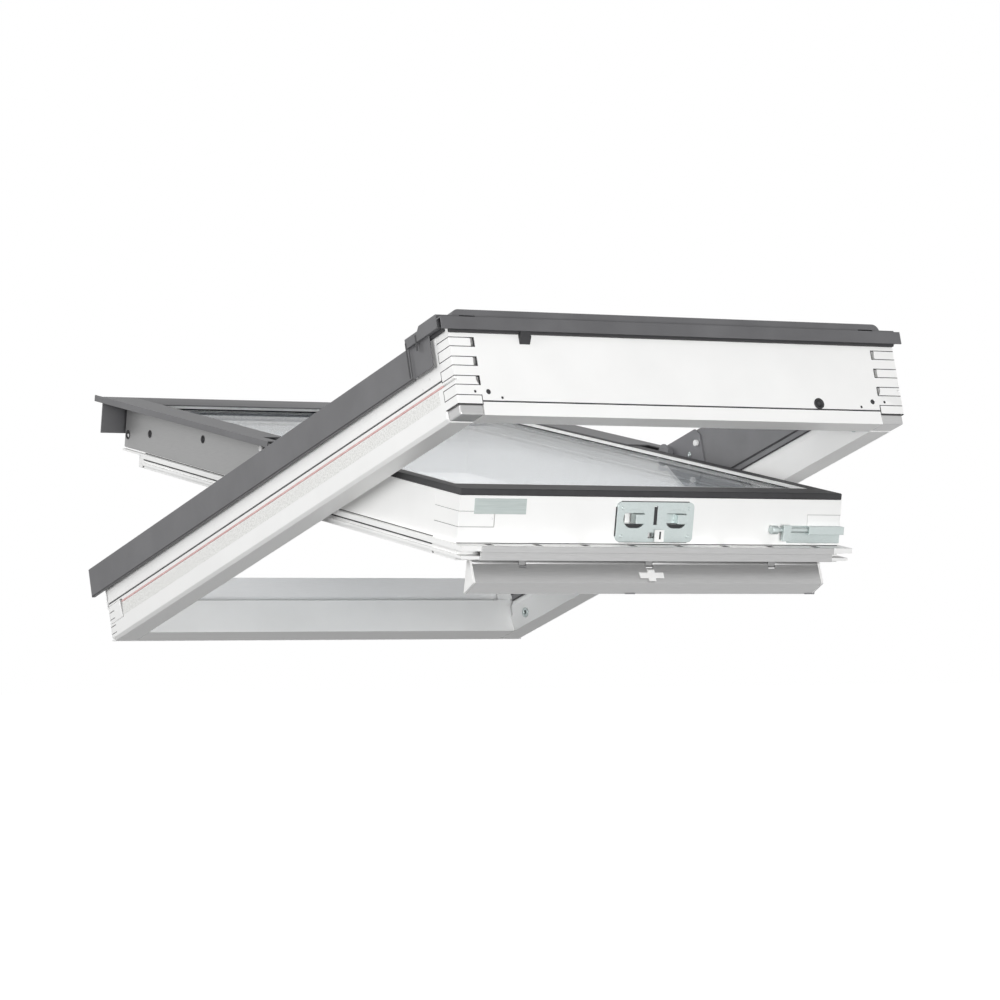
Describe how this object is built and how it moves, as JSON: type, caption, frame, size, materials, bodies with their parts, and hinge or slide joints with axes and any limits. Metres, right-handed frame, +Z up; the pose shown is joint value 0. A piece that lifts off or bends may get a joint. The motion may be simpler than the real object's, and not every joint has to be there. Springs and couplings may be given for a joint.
{
  "type": "roof skylight",
  "caption": "Centre-pivot roof window in its pitched frame, with the glazed sash standing open, grey covers, friction hinges, an air flap that works the lock, and a barrel bolt.",
  "frame": {"origin": "middle of the frame on the plane of its room side", "axes": "+Z up, +X to the right seen from the head, +Y level and down the roof, from the head to the sill; the frame lies at the roof's pitch"},
  "size_m": [0.806, 1.2264, 0.4869],
  "materials": {
    "coated_timber": "white polyurethane skin, satin",
    "red_seal": "matt",
    "dark_cover": "grey powder coat, satin",
    "black_rubber": "matt",
    "spring_steel": "dark, satin",
    "mill_aluminium": "mill finish",
    "hinge_steel": "grey, satin",
    "zinc_steel": "bright zinc plate",
    "white_nylon": "satin",
    "clear_glass": "polished",
    "bare_plate": "matt, bare"
  },
  "bodies": {
    "frame": {"frame_head": "coated_timber", "frame_sill": "coated_timber", "frame_jamb_left": "coated_timber", "frame_jamb_right": "coated_timber", "jamb_seal_left": "red_seal", "jamb_seal_right": "red_seal", "jamb_lining_left": "dark_cover", "jamb_lining_right": "dark_cover", "side_cover_left": "dark_cover", "side_cover_right": "dark_cover", "head_corner_left": "dark_cover", "head_corner_right": "dark_cover", "head_cover": "dark_cover", "sill_gasket": "black_rubber", "cover_clip": "spring_steel", "sill_cover": "mill_aluminium", "frame_hinge_left": "hinge_steel", "frame_hinge_right": "hinge_steel", "keeper": "zinc_steel", "bolt_bush": "zinc_steel", "frame_roller_left": "white_nylon", "frame_roller_right": "white_nylon"},
    "sash": {"sash_top_rail": "coated_timber", "sash_bottom_rail": "coated_timber", "sash_stile_left": "coated_timber", "sash_stile_right": "coated_timber", "glass_seat": "black_rubber", "inner_pane": "clear_glass", "glass_spacer": "mill_aluminium", "outer_pane": "clear_glass", "outer_gasket": "black_rubber", "side_plate_left": "mill_aluminium", "side_plate_right": "mill_aluminium", "overlap_strip_left": "dark_cover", "overlap_strip_right": "dark_cover", "end_cover": "dark_cover", "sash_hinge_left": "hinge_steel", "sash_hinge_right": "hinge_steel", "sash_glide_left": "white_nylon", "sash_glide_right": "white_nylon", "lock_plate": "zinc_steel", "name_plate": "bare_plate", "bolt_housing": "zinc_steel", "front_bar": "mill_aluminium", "flap_brackets": "zinc_steel", "flap_rod": "zinc_steel"},
    "flap": {"air_flap": "mill_aluminium", "flap_cap_left": "white_nylon", "flap_cap_right": "white_nylon", "flap_clip": "white_nylon"},
    "lock": {"lock_slide": "zinc_steel", "lock_link": "white_nylon"},
    "bolt": {"barrel_bolt": "zinc_steel"}
  },
  "joints": [
    {"name": "sash_pivot", "type": "hinge", "parent": "frame", "child": "sash", "pos_m": [0, 0.02954, 0.13933], "axis": [1, 0, 0], "range_deg": [-25.2, 135.3]},
    {"name": "flap_hinge", "type": "hinge", "parent": "sash", "child": "flap", "pos_m": [0, -0.44951, -0.04493], "axis": [1, 0, 0], "range_deg": [0, 35]},
    {"name": "lock_travel", "type": "slide", "parent": "sash", "child": "lock", "axis": [1, 0, 0], "range_m": [-0.014, 0]},
    {"name": "bolt_travel", "type": "slide", "parent": "sash", "child": "bolt", "axis": [1, 0, 0], "range_m": [0, 0.02]}
  ],
  "couplings": [
    {"joint": "lock_travel", "follows": "flap_hinge", "m_per_rad": -0.0229}
  ]
}
